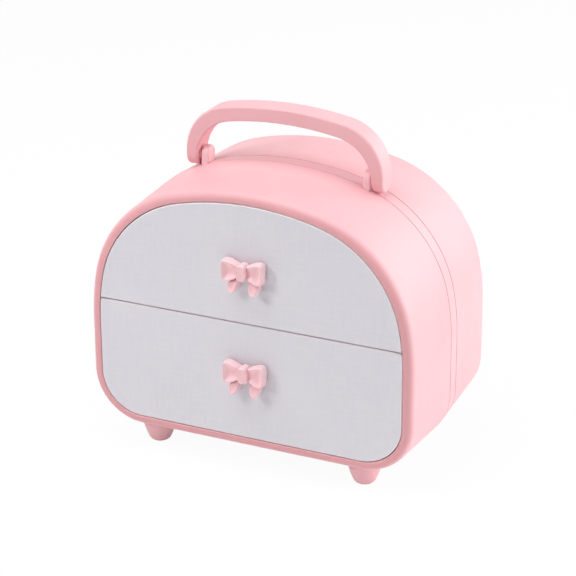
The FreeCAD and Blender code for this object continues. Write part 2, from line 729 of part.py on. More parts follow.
def handle_bracket(word, side, seat):
    # ear that carries one end of the handle: a round-topped post and a flange held under the roof
    name = word + "_handle_bracket"
    body = new_body(name + "_post")
    start = bracket_inside if side > 0 else "(0 - %s)" % bracket_outside
    low = "(%s - handle_depth)" % pivot_z
    round_z = "(%s + bracket_top_rise - bracket_depth / 2)" % pivot_z
    post = new_sketch(body, name + "_post_outline", "YZ_Plane", start)
    rectangle(post, "%s - bracket_depth / 2" % pivot_y, "%s + bracket_depth / 2" % pivot_y, low, round_z)
    pad(body, post, name + "_post_pad", "bracket_thickness")
    top = new_sketch(body, name + "_top_outline", "YZ_Plane", start)
    circle(top, pivot_y, round_z, "bracket_depth")
    crown = pad(body, top, name + "_top_pad", "bracket_thickness")
    doc.recompute()
    faces = (body.Shape.BoundBox.XMin, body.Shape.BoundBox.XMax)
    floor = body.Shape.BoundBox.ZMin

    def rim(edge):
        flat = any(lies_at("x", place)(edge) for place in faces)
        return flat and not lies_at("z", floor)(edge)

    fillet(body, crown, name + "_round", rim, "bracket_edge_round")
    mouth = bracket_outside if side > 0 else "(0 - %s)" % bracket_outside
    hole = new_sketch(body, name + "_hole_outline", "YZ_Plane", mouth)
    circle(hole, pivot_y, pivot_z, "trunnion_diameter + 2 * trunnion_clearance")
    pocket(body, hole, name + "_hole", "trunnion_engagement + trunnion_clearance", backward=side < 0)
    margin = "(bracket_depth / 2 + bracket_flange_margin)"
    slab = side_box(name + "_slab", side, "(%s - bracket_flange_margin)" % bracket_inside,
                    "(%s + bracket_flange_margin)" % bracket_outside, "(%s - %s)" % (pivot_y, margin),
                    "(%s + %s)" % (pivot_y, margin), low, "(foot_height + shell_height)")
    flange = combine("MultiCommon", name + "_flange", slab, seat)
    return keep(name, combine("MultiFuse", name, body, flange))


def foot_profile(sketch):
    # half section of a foot: flat bottom, bulging side and a straight collar that the shell trims
    low = read("foot_low_diameter") / 2
    top = read("foot_top_diameter") / 2
    height = read("foot_height")
    collar = height + read("rear_shrink")
    corners = ((0, 0), (low, 0), (top, height), (top, collar), (0, collar))
    spots = [FreeCAD.Vector(x, z, 0) for x, z in corners]
    chord = spots[2] - spots[1]
    bulge = chord.Length ** 2 / (8 * read("foot_side_radius"))
    middle = (spots[1] + spots[2]) / 2 + FreeCAD.Vector(chord.y, -chord.x, 0).normalize() * bulge
    sketch.addGeometry(Part.LineSegment(spots[0], spots[1]))
    sketch.addGeometry(Part.Arc(spots[1], middle, spots[2]))
    for k in (2, 3, 4):
        sketch.addGeometry(Part.LineSegment(spots[k], spots[(k + 1) % 5]))
    for k in range(5):
        sketch.addConstraint(Sketcher.Constraint("Coincident", k, 2, (k + 1) % 5, 1))
    places = [("0", "0"), ("foot_low_diameter / 2", "0"), ("foot_top_diameter / 2", "foot_height"),
              ("foot_top_diameter / 2", "foot_height + rear_shrink"), ("0", "foot_height + rear_shrink")]
    for k, (across, up) in enumerate(places):
        fix_point(sketch, k, 1, across, up)
    round_side = sketch.addConstraint(Sketcher.Constraint("Radius", 1, sketch.Geometry[1].Radius))
    bind(sketch, "Constraints[%d]" % round_side, "foot_side_radius")


def foot(word, side, depth_word, y, hulls):
    # cup-shaped foot whose top follows the underside of the shell
    name = "%s_%s_foot" % (depth_word, word)
    body = new_body(name + "_cup")
    profile = new_sketch(body, name + "_profile", "XZ_Plane", "0")
    foot_profile(profile)
    turned = body.newObject("PartDesign::Revolution", name + "_turned")
    turned.Profile = profile
    turned.ReferenceAxis = (profile, ["V_Axis"])
    turned.Angle = 360
    fillet(body, turned, name + "_round", lies_at("z", 0), "foot_edge_radius")
    bind(body, "Placement.Base.x", "(%d) * %s" % (side, foot_reach))
    bind(body, "Placement.Base.y", y)
    pilot = rod(name + "_pilot", "z", "screw_diameter + 2 * pilot_clearance", "foot_height",
                "(%d) * %s" % (side, foot_reach), y, "foot_height - pilot_depth")
    cuts = combine("MultiFuse", name + "_cuts", pilot, *hulls)
    return keep(name, combine("Cut", name, body, cuts))


def screw(name, grip):
    # pan-head screw along z, its head standing on z = 0
    body = new_body(name)
    profile = new_sketch(body, name + "_profile", "XZ_Plane", "0")
    radius = "screw_diameter / 2"
    polygon(profile, [("0", "0 - (%s)" % grip), ("screw_tip_diameter / 2", "0 - (%s)" % grip),
                      (radius, "screw_diameter - (%s)" % grip), (radius, "0"),
                      ("screw_head_diameter / 2", "0"),
                      ("screw_head_diameter / 2", "screw_head_edge"),
                      ("screw_crown_diameter / 2", "screw_head_height"), ("0", "screw_head_height")])
    turned = body.newObject("PartDesign::Revolution", name + "_turned")
    turned.Profile = profile
    turned.ReferenceAxis = (profile, ["V_Axis"])
    turned.Angle = 360
    for k in (0, 1):
        slot = new_sketch(body, "%s_slot_outline_%d" % (name, k), "XY_Plane", "screw_head_height")
        across = ("screw_slot_width / 2", "screw_slot_length / 2")
        wide, tall = across if k == 0 else across[::-1]
        rectangle(slot, "0 - %s" % wide, wide, "0 - %s" % tall, tall)
        pocket(body, slot, "%s_slot_%d" % (name, k), "screw_slot_depth")
    return body


def place(item, x, y, z, turn=0):
    item.Placement = FreeCAD.Placement(FreeCAD.Vector(), FreeCAD.Rotation(FreeCAD.Vector(1, 0, 0), turn))
    bind(item, "Placement.Base.x", x)
    bind(item, "Placement.Base.y", y)
    bind(item, "Placement.Base.z", z)
    return item


def shell_screws():
    screws = []
    for word, side in left_right:
        for spot, across, up in boss_places():
            item = screw("shell_screw_%s_%s" % (word, spot), "(boss_floor + shell_screw_grip)")
            seat = "(%s + boss_floor)" % parting_plane
            screws.append(place(item, "(%d) * (%s)" % (side, across), seat, up, -90))
    return keep("shell_screws", combine("Compound", "shell_screws", *screws))


def foot_screws():
    # heads stand on the shell floor, whose height follows the draft
    screws = []
    floor = "foot_height + wall + screw_head_diameter / 2 * %s"
    slope = {"front": front_slope, "rear": rear_slope}
    inset = {
        "front": "(0 - %s * (foot_setback - %s))" % (front_slope, front_land),
        "rear": "(%s - %s * (foot_setback - %s))" % (draft_at_rear, rear_slope, rear_land),
    }
    for depth_word, y in (("front", front_foot_y), ("rear", rear_foot_y)):
        z = "%s + %s" % (floor % slope[depth_word], inset[depth_word])
        for word, side in left_right:
            item = screw("foot_screw_%s_%s" % (depth_word, word), "(wall + foot_screw_grip)")
            screws.append(place(item, "(%d) * %s" % (side, foot_reach), y, z))
    return keep("foot_screws", combine("Compound", "foot_screws", *screws))


def tray(level, width, corner, low, top, knob_z, peg_low, peg_high, stop_y):
    # open tub with rounded lower sides, and two stop blocks under its back
    name = level + "_drawer_tray"
    body = new_body(name)
    outline = new_sketch(body, name + "_outline", "XZ_Plane", facing(panel_back))
    rectangle(outline, "0 - %s / 2" % width, "%s / 2" % width, low, top)
    block = pad(body, outline, name + "_block", "tray_length", backward=True)
    doc.recompute()
    floor = block.Shape.BoundBox.ZMin

    def low_side(edge):
        return runs_along(edge, "y") and abs(edge.BoundBox.ZMin - floor) < touching

    rounded = fillet(body, block, name + "_corners", low_side, corner)
    doc.recompute()
    roof = rounded.Shape.BoundBox.ZMax
    open_face = ["Face%d" % k for k, face in enumerate(rounded.Shape.Faces, start=1)
                 if abs(face.BoundBox.ZMin - roof) < touching]
    hollow = body.newObject("PartDesign::Thickness", name + "_hollow")
    hollow.Base = (rounded, open_face)
    hollow.Reversed = True
    bind(hollow, "Value", "tray_wall")
    for word, side in left_right:
        stop = new_sketch(body, "%s_%s_stop_outline" % (name, word), "XZ_Plane", facing(stop_y))
        inner = "(runner_spacing / 2 + runner_width / 2 + stop_clearance)"
        outer = "(%s + stop_block_width)" % inner
        left, right = (inner, outer) if side > 0 else ("(0 - %s)" % outer, "(0 - %s)" % inner)
        rectangle(stop, left, right, "%s - stop_block_height" % low, "%s + tray_wall / 2" % low)
        pad(body, stop, "%s_%s_stop" % (name, word), "stop_block_length", backward=True)
    holes = new_sketch(body, name + "_holes_outline", "XZ_Plane", facing(panel_back))
    circle(holes, "0", knob_z, "screw_hole_diameter")
    for side in (-1, 1):
        for z in (peg_low, peg_high):
            circle(holes, "(%d) * peg_spread / 2" % side, z, "peg_diameter + 2 * peg_clearance")
    pocket(body, holes, name + "_holes", "tray_wall")
    return keep(name, body)


def drawer_front(level, knob_z, peg_low, peg_high):
    # arched panel, cut at the split line, with a hole for the knob and pegs for the tray
    name = level + "_drawer_front"
    body = new_body(name)
    outline = arch(new_sketch(body, name + "_outline", "XZ_Plane", facing(panel_back)),
                   "(rim_width + front_gap)")
    pad(body, outline, name + "_plate", "panel_thickness")
    trim = new_sketch(body, name + "_trim_outline", "XZ_Plane", facing(panel_back))
    if level == "upper":
        rectangle(trim, "0 - shell_width", "shell_width", "0", "%s + front_gap / 2" % split_z)
    else:
        rectangle(trim, "0 - shell_width", "shell_width", "%s - front_gap / 2" % split_z, "2 * shell_height")
    trimmed = pocket(body, trim, name + "_trim", "panel_thickness", backward=True)
    doc.recompute()
    fillet(body, trimmed, name + "_round", lies_at("y", trimmed.Shape.BoundBox.YMin), "panel_edge_radius")
    hole = new_sketch(body, name + "_hole_outline", "XZ_Plane", facing(panel_back))
    circle(hole, "0", knob_z, "bow_boss_diameter + 2 * bow_boss_clearance")
    pocket(body, hole, name + "_hole", "panel_thickness", backward=True)
    pegs = new_sketch(body, name + "_pegs_outline", "XZ_Plane", facing(panel_back))
    for side in (-1, 1):
        for z in (peg_low, peg_high):
            circle(pegs, "(%d) * peg_spread / 2" % side, z, "peg_diameter")
    pad(body, pegs, name + "_pegs", "tray_wall", backward=True)
    return keep(name, body)


def bow_loops(body, name):
    # two loops that swell from the knot to their shoulders and grow thinner towards their ends
    slope = "((bow_loop_thickness - bow_end_thickness) / (bow_width / 2 - bow_loop_root))"
    for word, side in left_right:
        outline = new_sketch(body, "%s_%s_loop_outline" % (name, word), "XZ_Plane", "0")
        half = [("bow_loop_root", "bow_root_height / 2"), ("bow_shoulder_reach", "bow_height / 2"),
                ("bow_width / 2", "bow_end_height / 2")]
        upper = [("(%d) * %s" % (side, x), z) for x, z in half]
        lower = [(x, "0 - %s" % z) for x, z in upper]
        polygon(outline, lower + upper[::-1])
        pad(body, outline, "%s_%s_loop" % (name, word), "bow_loop_thickness")
    for word, side in left_right:
        slant = new_sketch(body, "%s_%s_slant_outline" % (name, word), "XY_Plane", "bow_height")
        face = "0 - bow_loop_thickness"
        polygon(slant, [("(%d) * bow_loop_root" % side, face), ("(%d) * bow_width" % side, face),
                        ("(%d) * bow_width" % side,
                         "%s + %s * (bow_width - bow_loop_root)" % (face, slope))])
        loops = pocket(body, slant, "%s_%s_slant" % (name, word), "2 * bow_height")
    doc.recompute()
    reach = {"end": read("bow_width") / 2, "shoulder": read("bow_shoulder_reach")}

    def corner(spot):
        return lambda edge: runs_along(edge, "y") and abs(abs(edge.BoundBox.XMin) - reach[spot]) < touching

    ended = fillet(body, loops, name + "_loop_ends", corner("end"), "bow_loop_corner")
    rounded = fillet(body, ended, name + "_loop_shoulders", corner("shoulder"), "bow_loop_shoulder")
    doc.recompute()
    rim = front_rim(rounded.Shape, -read("bow_end_thickness") + touching, read("bow_loop_root"))
    fillet(body, rounded, name + "_loop_round", rim, "bow_loop_roundness")
    dimple_radius = "((bow_dimple_width ^ 2 / 4 + bow_dimple_depth ^ 2) / (2 * bow_dimple_depth))"
    dimple_face = "(bow_loop_thickness - %s * (bow_dimple_reach - bow_loop_root))" % slope
    for word, side in left_right:
        dimple = body.newObject("PartDesign::SubtractiveSphere", "%s_%s_dimple" % (name, word))
        bind(dimple, "Radius", dimple_radius)
        bind(dimple, "Placement.Base.x", "(%d) * bow_dimple_reach" % side)
        bind(dimple, "Placement.Base.y", "bow_dimple_depth - %s - %s" % (dimple_face, dimple_radius))


def front_rim(shape, depth, middle):
    # test for the edges of the forward faces that lie ahead of a depth, apart from those at the middle
    ahead = [face for face in shape.Faces if face.BoundBox.YMax < depth and face.normalAt(0, 0).y < 0]
    rim = [edge for face in ahead for edge in face.Edges]

    def test(edge):
        reach = max(edge.BoundBox.XMax, -edge.BoundBox.XMin)
        return reach > middle + touching and any(edge.isSame(other) for other in rim)

    return test


def bow_tails(body, name):
    # two short ribbon ends that hang from under the loops
    for word, side in left_right:
        ribbon = new_sketch(body, "%s_%s_tail_outline" % (name, word), "XZ_Plane", "0")
        corners = [("bow_tail_root_inside", "bow_tail_root_drop"), ("bow_tail_end_inside", "bow_tail_drop"),
                   ("bow_tail_end_outside", "bow_tail_drop"),
                   ("bow_tail_shoulder_reach", "bow_tail_shoulder_drop"),
                   ("bow_tail_root_outside", "bow_tail_root_drop")]
        polygon(ribbon, [("(%d) * %s" % (side, x), "0 - %s" % z) for x, z in corners])
        tails = pad(body, ribbon, "%s_%s_tail" % (name, word), "bow_tail_thickness")
    doc.recompute()
    loop_low = -read("bow_height") / 2
    face = -read("bow_tail_thickness")

    def tail_corner(edge):
        return runs_along(edge, "y") and edge.BoundBox.ZMax < loop_low - touching

    def tail_face(edge):
        return lies_at("y", face)(edge) and edge.BoundBox.ZMin < loop_low

    cornered = fillet(body, tails, name + "_tail_corners", tail_corner, "bow_tail_corner")
    fillet(body, cornered, name + "_tail_round", tail_face, "bow_tail_roundness")


def bow_knob(level, knob_z):
    # ribbon bow: knot, two puffed loops with hollows, two short tails, and a boss behind for its screw
    name = level + "_bow_knob"
    body = new_body(name)
    core = new_sketch(body, name + "_core_outline", "XZ_Plane", "0")
    rectangle(core, "0 - bow_core_width / 2", "bow_core_width / 2", "0 - bow_core_height / 2",
              "bow_core_height / 2")
    pad(body, core, name + "_core", "bow_core_thickness")
    boss = new_sketch(body, name + "_boss_outline", "XZ_Plane", "0")
    circle(boss, "0", "0", "bow_boss_diameter")
    pad(body, boss, name + "_boss", "panel_thickness", backward=True)
    bow_loops(body, name)
    band = new_sketch(body, name + "_knot_outline", "XZ_Plane", "0")
    rectangle(band, "0 - bow_knot_width / 2", "bow_knot_width / 2", "0 - bow_knot_height / 2",
              "bow_knot_height / 2")
    band_pad = pad(body, band, name + "_knot", "knob_reach + panel_recess")
    tip = -read("knob_reach") - read("panel_recess")
    fillet(body, band_pad, name + "_knot_round", lies_at("y", tip), "bow_knot_roundness")
    bow_tails(body, name)
    pilot = new_sketch(body, name + "_pilot_outline", "XZ_Plane", "0 - panel_thickness")
    circle(pilot, "0", "0", "screw_diameter + 2 * pilot_clearance")
    pocket(body, pilot, name + "_pilot", "pilot_depth", backward=True)
    place(body, "0", panel_front, knob_z)
    return keep(name, body)


def knob_screw(level, knob_z):
    name = level + "_knob_screw"
    body = screw(name, "(tray_wall + knob_screw_grip)")
    return keep(name, place(body, "0", "%s + tray_wall" % panel_back, knob_z, -90))


def drawer(level, width, corner, low, top, knob_z, stop_y):
    peg_low = "(%s + peg_inset)" % low
    peg_high = "(%s - peg_inset)" % top
    tray(level, width, corner, low, top, knob_z, peg_low, peg_high, stop_y)
    drawer_front(level, knob_z, peg_low, peg_high)
    bow_knob(level, knob_z)
    knob_screw(level, knob_z)


def handle():
    body = new_body("handle")
    profile = new_sketch(body, "handle_profile", "XZ_Plane", facing(pivot_y))
    leg_low = "(%s - handle_depth / 2)" % pivot_z
    outer = hoop(profile, "(handle_width / 2)", "(foot_height + handle_rise)", "handle_top_radius",
                 "handle_shoulder_radius", leg_low, (0, 0))
    inner = hoop(profile, leg_inside, "(foot_height + handle_rise - handle_bar)", "handle_inner_top_radius",
                 "handle_inner_shoulder_radius", leg_low, (read("handle_leg"), read("handle_bar")))
    for outer_end, inner_end in (((outer, 1), (inner, 1)), ((outer + 4, 2), (inner + 4, 2))):
        start = profile.getPoint(*outer_end)
        bottom = profile.addGeometry(Part.LineSegment(start, start + FreeCAD.Vector(0, -1, 0)))
        profile.addConstraint(Sketcher.Constraint("Coincident", bottom, 1, *outer_end))
        profile.addConstraint(Sketcher.Constraint("Coincident", bottom, 2, *inner_end))
    bow = pad(body, profile, "handle_bow", "handle_depth", middle=True)
    doc.recompute()
    floor = body.Shape.BoundBox.ZMin

    def leg_end(edge):
        return runs_along(edge, "x") and lies_at("z", floor)(edge)

    ended = fillet(body, bow, "handle_leg_ends", leg_end, "handle_end_radius")
    radii = {"outer": ("handle_top_radius", "handle_shoulder_radius"),
             "inner": ("handle_inner_top_radius", "handle_inner_shoulder_radius")}
    reach = {"outer": read("handle_width") / 2, "inner": read("handle_width") / 2 - read("handle_leg")}

    def along(which):
        def test(edge):
            bounds = edge.BoundBox
            flat = bounds.XLength < touching and abs(abs(bounds.XMin) - reach[which]) < touching
            upright = flat and bounds.YLength < read("handle_depth") - touching
            if upright or not hasattr(edge.Curve, "Radius") or bounds.YLength > touching:
                return upright
            return any(abs(edge.Curve.Radius - read(size)) < touching for size in radii[which])
        return test

    rounded = fillet(body, ended, "handle_outer_edges", along("outer"), "handle_outer_round")
    fillet(body, rounded, "handle_inner_edges", along("inner"), "handle_inner_round")
    overlap = "handle_leg / 2"
    for word, side in left_right:
        for stage, inward, diameter in (
                ("collar", "(%s + collar_side_gap)" % bracket_outside, "trunnion_collar_diameter"),
                ("pin", "(%s - trunnion_engagement)" % bracket_outside, "trunnion_diameter")):
            start = inward if side > 0 else "(0 - %s - %s)" % (leg_inside, overlap)
            disc = new_sketch(body, "handle_%s_%s_outline" % (word, stage), "YZ_Plane", start)
            circle(disc, pivot_y, pivot_z, diameter)
            pad(body, disc, "handle_%s_%s" % (word, stage), "%s + %s - %s" % (leg_inside, overlap, inward))
    return keep("handle", body)


def seat_hull():
    # inside of both shells, a hair below the roof, that the bracket flanges follow
    inset = "(wall + bracket_seat_gap + %s)"
    widest = inset % draft_at_parting
    front = arch_hull("seat_front", front_land_back, inset % "0", parting_plane, widest)
    rear = arch_hull("seat_rear", parting_plane, widest, rear_land_front, inset % draft_at_rear)
    return combine("MultiFuse", "seat_hull", front, rear)


def housing():
    skins = {"front": front_skin(), "rear": rear_skin()}
    front_shell(skins["front"])
    rear_shell(skins["rear"])
    divider_shelf()
    seat = seat_hull()
    spans = {
        "front": (front_foot_y, rim_back, draft_at_rim, parting_plane, draft_at_parting),
        "rear": (rear_foot_y, parting_plane, draft_at_parting, rear_land_front, draft_at_rear),
    }
    for depth_word, (y, *span) in spans.items():
        hull = arch_hull(depth_word + "_foot_hull", *span)
        for word, side in left_right:
            foot(word, side, depth_word, y, [hull, skins[depth_word]])
    for word, side in left_right:
        handle_bracket(word, side, seat)
    shell_screws()
    foot_screws()


def check_model():
    doc.recompute()
    cuts = ("PartDesign::Pocket", "PartDesign::SubtractiveLoft", "PartDesign::SubtractiveSphere")
    for item in doc.Objects:
        if "Invalid" in item.State or "Error" in item.State:
            raise ValueError("failed object: " + item.Name)
        if item.TypeId in cuts and item.Shape.Volume > item.BaseFeature.Shape.Volume - least_cut:
            raise ValueError("this cut removes nothing: " + item.Name)
    for node, item in parts.items():
        if item.Shape.isNull() or not item.Shape.isValid():
            raise ValueError("bad shape: " + node)


housing()
stop_gap = "drawer_travel + stop_clearance"
drawer("upper", upper_tray_width, "upper_tray_corner", upper_tray_low, upper_tray_top,
       "(foot_height + upper_knob_height)", "(%s + shelf_lip_thickness + %s)" % (shelf_front, stop_gap))
drawer("lower", lower_tray_width, "lower_tray_corner", lower_tray_low, lower_tray_top,
       "(foot_height + lower_knob_height)", "(%s + %s)" % (rim_back, stop_gap))
handle()
check_model()
os.makedirs("parts", exist_ok=True)
for node, item in parts.items():
    item.Shape.exportStep("parts/%s.step" % node)
    print("%-22s solids %d  volume %.0f mm3" % (node, len(item.Shape.Solids), item.Shape.Volume))
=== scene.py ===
import math
import bpy
import bmesh
from mathutils import Matrix, Vector, geometry


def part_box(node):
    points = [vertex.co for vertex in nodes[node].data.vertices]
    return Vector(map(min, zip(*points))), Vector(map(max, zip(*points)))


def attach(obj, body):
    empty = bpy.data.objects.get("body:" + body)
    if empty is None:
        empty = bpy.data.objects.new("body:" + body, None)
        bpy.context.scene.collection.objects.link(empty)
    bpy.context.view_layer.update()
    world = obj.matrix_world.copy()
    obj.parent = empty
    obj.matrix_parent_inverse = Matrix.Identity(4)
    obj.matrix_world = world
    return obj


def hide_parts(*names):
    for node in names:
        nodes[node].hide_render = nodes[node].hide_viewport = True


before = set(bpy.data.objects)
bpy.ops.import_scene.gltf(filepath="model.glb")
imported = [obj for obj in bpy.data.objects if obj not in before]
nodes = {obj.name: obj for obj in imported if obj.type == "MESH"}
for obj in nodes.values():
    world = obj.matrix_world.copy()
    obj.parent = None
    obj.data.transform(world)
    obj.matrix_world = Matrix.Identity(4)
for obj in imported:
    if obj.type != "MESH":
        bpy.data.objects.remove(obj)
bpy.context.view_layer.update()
mm = 0.001
print("frame loaded:", len(nodes), "nodes")


# short ways to set up shader nodes
def newMaterial(name):
    material = bpy.data.materials.new(name)
    material.use_nodes = True
    tree = material.node_tree
    tree.nodes.clear()
    output = tree.nodes.new("ShaderNodeOutputMaterial")
    return material, tree, output


def addNode(tree, kind, **values):
    node = tree.nodes.new(kind)
    for key, value in values.items():
        setattr(node, key, value)
    return node


def plug(tree, socket, value):
    # links another node's socket, or sets a plain value
    if isinstance(value, bpy.types.NodeSocket):
        tree.links.new(value, socket)
    else:
        socket.default_value = value


def toLinear(color):
    # turns a screen colour, 0 to 255, into the linear values that shaders take
    def channel(v):
        v /= 255
        return v / 12.92 if v <= 0.04045 else ((v + 0.055) / 1.055) ** 2.4
    return tuple(channel(v) for v in color) + (1,)


def calculate(tree, operation, *values):
    node = addNode(tree, "ShaderNodeMath", operation=operation)
    for socket, value in zip(node.inputs, values):
        plug(tree, socket, value)
    return node.outputs[0]


def along(tree, vector, axis):
    node = addNode(tree, "ShaderNodeSeparateXYZ")
    tree.links.new(vector, node.inputs[0])
    return node.outputs[axis]


def farFrom(tree, value, place):
    return calculate(tree, "ABSOLUTE", calculate(tree, "SUBTRACT", value, place))


def stretched(tree, source, scale):
    mapping = addNode(tree, "ShaderNodeMapping")
    mapping.inputs["Scale"].default_value = scale
    tree.links.new(source, mapping.inputs["Vector"])
    return mapping.outputs["Vector"]


def noise(tree, vector, scale, detail=2.0, roughness=0.5):
    node = addNode(tree, "ShaderNodeTexNoise")
    for name, value in (("Vector", vector), ("Scale", scale), ("Detail", detail), ("Roughness", roughness)):
        plug(tree, node.inputs[name], value)
    return node.outputs["Fac"]


def ramp(tree, source, low, high, fromLow=0.3, fromHigh=0.7):
    # most of a noise lies between 0.3 and 0.7
    node = addNode(tree, "ShaderNodeMapRange")
    for name, value in (("Value", source), ("From Min", fromLow), ("From Max", fromHigh),
                        ("To Min", low), ("To Max", high)):
        plug(tree, node.inputs[name], value)
    return node.outputs["Result"]


def tintBetween(tree, factor, first, second):
    node = addNode(tree, "ShaderNodeMix", data_type="RGBA")
    # the colour sockets of a Mix node share their names with the float ones
    colorInputs = [socket for socket in node.inputs if socket.type == "RGBA"]
    for socket, value in zip(colorInputs, (first, second)):
        plug(tree, socket, value)
    tree.links.new(factor, node.inputs["Factor"])
    return [socket for socket in node.outputs if socket.type == "RGBA"][0]


def bump(tree, height, strength, distance):
    node = addNode(tree, "ShaderNodeBump")
    for name, value in (("Height", height), ("Strength", strength), ("Distance", distance)):
        plug(tree, node.inputs[name], value)
    return node.outputs["Normal"]


def finishSurface(tree, output, color, roughness, normal, specular=None, metallic=0):
    shader = addNode(tree, "ShaderNodeBsdfPrincipled")
    shader.inputs["Metallic"].default_value = metallic
    if specular is not None:
        shader.inputs["Specular IOR Level"].default_value = specular
    for name, value in (("Base Color", color), ("Roughness", roughness), ("Normal", normal)):
        tree.links.new(value, shader.inputs[name])
    tree.links.new(shader.outputs["BSDF"], output.inputs["Surface"])


# moulded plastic: slow cloudiness in the colour, spark-eroded grain in the bump, uneven roughness
pinkPlastic = {
    "name": "pinkSatinPlastic",
    "color": (243, 190, 195),
    "tint": (239, 184, 190),
    "cloudScale": 22,
    "cloudDetail": 3,
    "patchScale": 110,
    "grainScale": 2600,
    "grainRoughness": 0.6,
    "grainDepth": 0.00004,
    "grainStrength": 0.22,
    "roughness": (0.40, 0.50),
    "specular": 0.42,
}
shellPlastic = dict(
    pinkPlastic, name="pinkShellPlastic",
    # painted shade: where the shell faces the front, as on the rim, it is painted a deeper pink
    frontShadeColor=(227, 164, 169), frontFrom=0.45, frontTo=0.92,
    # the two lines round the body hold a little shade: place along the depth, half width, strength
    seamShadeColor=(176, 128, 130), seams=((-0.0015, 0.00030, 0.80), (0.0084, 0.00030, 0.25)),
    seamSoftness=0.2,              # of the half width
    seamTop=(0.145, 0.160),        # the heights between which the shade fades out on the crown
)
# painted light: the bow is a lighter copy of the pink for its lit tops, and its faces towards the front are
# painted shade in a deeper pink
bowPaintedLightAndShadePlastic = dict(
    pinkPlastic, name="pinkBowPaintedLightAndShade", color=(253, 217, 221), tint=(250, 211, 216), roughness=(0.36, 0.46),
    frontShadeColor=(246, 198, 203), frontFrom=0.75, frontTo=0.97,
)
# painted light: the ears are a lighter copy of the pink, for their lit fronts
earPaintedLightPlastic = dict(pinkPlastic, name="pinkEarPaintedLightPlastic", color=(252, 212, 216), tint=(249, 206, 211))
innerPlastic = dict(pinkPlastic, name="whiteInnerPlastic", color=(236, 235, 238), tint=(229, 229, 233),
                    roughness=(0.42, 0.52))


def seamShade(tree, place, look, depth, reach, strength):
    # strength within reach of a depth, fading to 0 just outside it and towards the crown
    soft = look["seamSoftness"]
    away = farFrom(tree, along(tree, place, "Y"), depth)
    near = ramp(tree, away, strength, 0, reach * (1 - soft), reach * (1 + soft))
    return calculate(tree, "MULTIPLY", near, ramp(tree, along(tree, place, "Z"), 1, 0, *look["seamTop"]))


def mouldedPlastic(look):
    material, tree, output = newMaterial(look["name"])
    coords = addNode(tree, "ShaderNodeTexCoord")
    place = coords.outputs["Object"]
    cloud = noise(tree, place, look["cloudScale"], look["cloudDetail"])
    color = tintBetween(tree, ramp(tree, cloud, 0, 1), toLinear(look["color"]), toLinear(look["tint"]))
    # painted shade: surfaces that face the front are mixed towards a deeper pink
    if "frontShadeColor" in look:
        facing = along(tree, coords.outputs["Normal"], "Y")
        front = ramp(tree, facing, 0, 1, -look["frontFrom"], -look["frontTo"])
        color = tintBetween(tree, front, color, toLinear(look["frontShadeColor"]))
    for seam in look.get("seams", ()):
        color = tintBetween(tree, seamShade(tree, place, look, *seam), color, toLinear(look["seamShadeColor"]))
    roughness = ramp(tree, noise(tree, place, look["patchScale"]), *look["roughness"])
    grain = noise(tree, place, look["grainScale"], roughness=look["grainRoughness"])
    normal = bump(tree, grain, look["grainStrength"], look["grainDepth"])
    finishSurface(tree, output, color, roughness, normal, look["specular"])
    return material


# drawer fronts: white plastic with a faint linen texture on the flat, and a painted highlight on the rounded
# edge
linenFront = {
    "name": "linenWhitePlastic",
    "color": (223, 221, 227),
    "tint": (219, 217, 224),
    "edgeHighlightColor": (250, 246, 248),
    "edgeFrom": 0.965,             # share of the normal towards the front, where the edge's tone ends
    "edgeTo": 0.992,               # and where the flat's begins
    "seamShadeColor": (222, 213, 219),  # painted shade, duller, where the two fronts meet
    "seamReach": (0.00112, 0.0016),
    "threadScale": 900,
    "threadLength": 0.09,
    "threadRange": (0.15, 0.35),   # where the product of the two noises lies
    "threadDepth": 0.00003,
    "threadStrength": 0.08,
    "cloudScale": 30,
    "cloudDetail": 3,
    "cloudLeast": 0.5,
    "roughness": (0.46, 0.56),
    "specular": 0.38,
}


def linenPlastic(look):
    material, tree, output = newMaterial(look["name"])
    coords = addNode(tree, "ShaderNodeTexCoord")
    place = coords.outputs["Object"]
    # 1 where the surface faces straight forward, 0 round the edge
    flat = ramp(tree, along(tree, coords.outputs["Normal"], "Y"), 0, 1, -look["edgeFrom"], -look["edgeTo"])
    short = look["threadLength"]
    across = noise(tree, stretched(tree, place, (short, 1, 1)), look["threadScale"])
    upright = noise(tree, stretched(tree, place, (1, 1, short)), look["threadScale"])
    weave = calculate(tree, "MULTIPLY", across, upright)
    cloud = ramp(tree, noise(tree, place, look["cloudScale"], look["cloudDetail"]), look["cloudLeast"], 1)
    mottled = calculate(tree, "MULTIPLY", ramp(tree, weave, 0, 1, *look["threadRange"]), cloud)
    cloth = tintBetween(tree, mottled, toLinear(look["color"]), toLinear(look["tint"]))
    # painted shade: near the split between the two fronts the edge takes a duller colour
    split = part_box("upper_drawer_front")[0][2]
    outer = ramp(tree, farFrom(tree, along(tree, place, "Z"), split), 0, 1, *look["seamReach"])
    # painted highlight round the edge, which gives way to painted shade near the split
    edge = tintBetween(tree, outer, toLinear(look["seamShadeColor"]), toLinear(look["edgeHighlightColor"]))
    color = tintBetween(tree, flat, edge, cloth)
    roughness = ramp(tree, weave, *look["roughness"], *look["threadRange"])
    raised = calculate(tree, "MULTIPLY", weave, flat)
    normal = bump(tree, raised, look["threadStrength"], look["threadDepth"])
    finishSurface(tree, output, color, roughness, normal, look["specular"])
    return material


# zinc-plated screws, brushed along their length
screwMetal = {
    "name": "zincScrewMetal",
    "color": (176, 178, 182),
    "tint": (150, 152, 158),
    "scratchScale": 1800,
    "scratchDetail": 3,
    "scratchLength": 0.1,
    "scratchDepth": 0.00003,
    "scratchStrength": 0.2,
    "roughness": (0.25, 0.42),
}


